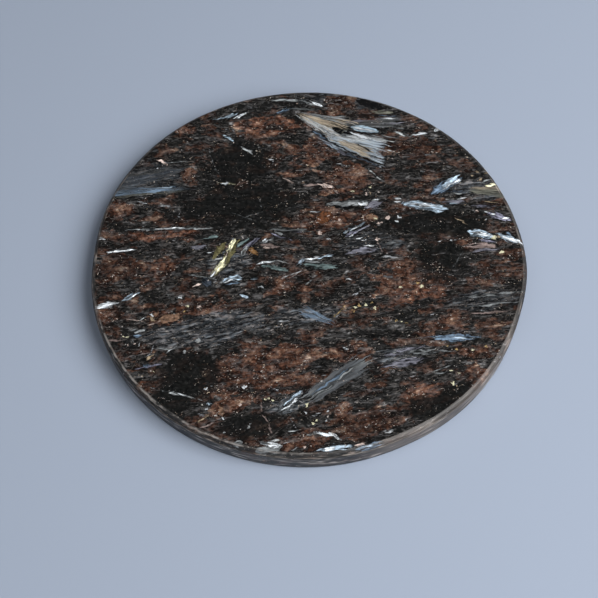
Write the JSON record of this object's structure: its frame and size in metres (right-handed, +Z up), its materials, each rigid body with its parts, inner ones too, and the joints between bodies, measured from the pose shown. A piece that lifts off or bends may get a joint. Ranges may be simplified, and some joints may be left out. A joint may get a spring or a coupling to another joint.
{
  "type": "nuummite plaque",
  "caption": "Flat round plaque of dark nuummite stone with a polished face and eased edges, for display or as a rest for small things.",
  "frame": {"origin": "middle of the underside, at the centre of the outline's box", "axes": "+Z up out of the polished face; +X to the right and +Y to the back as the picture shows it"},
  "size_m": [0.1, 0.1, 0.006],
  "materials": {
    "stone": "polished stone"
  },
  "bodies": {
    "root": {"stone_disc": "stone"}
  },
  "joints": []
}
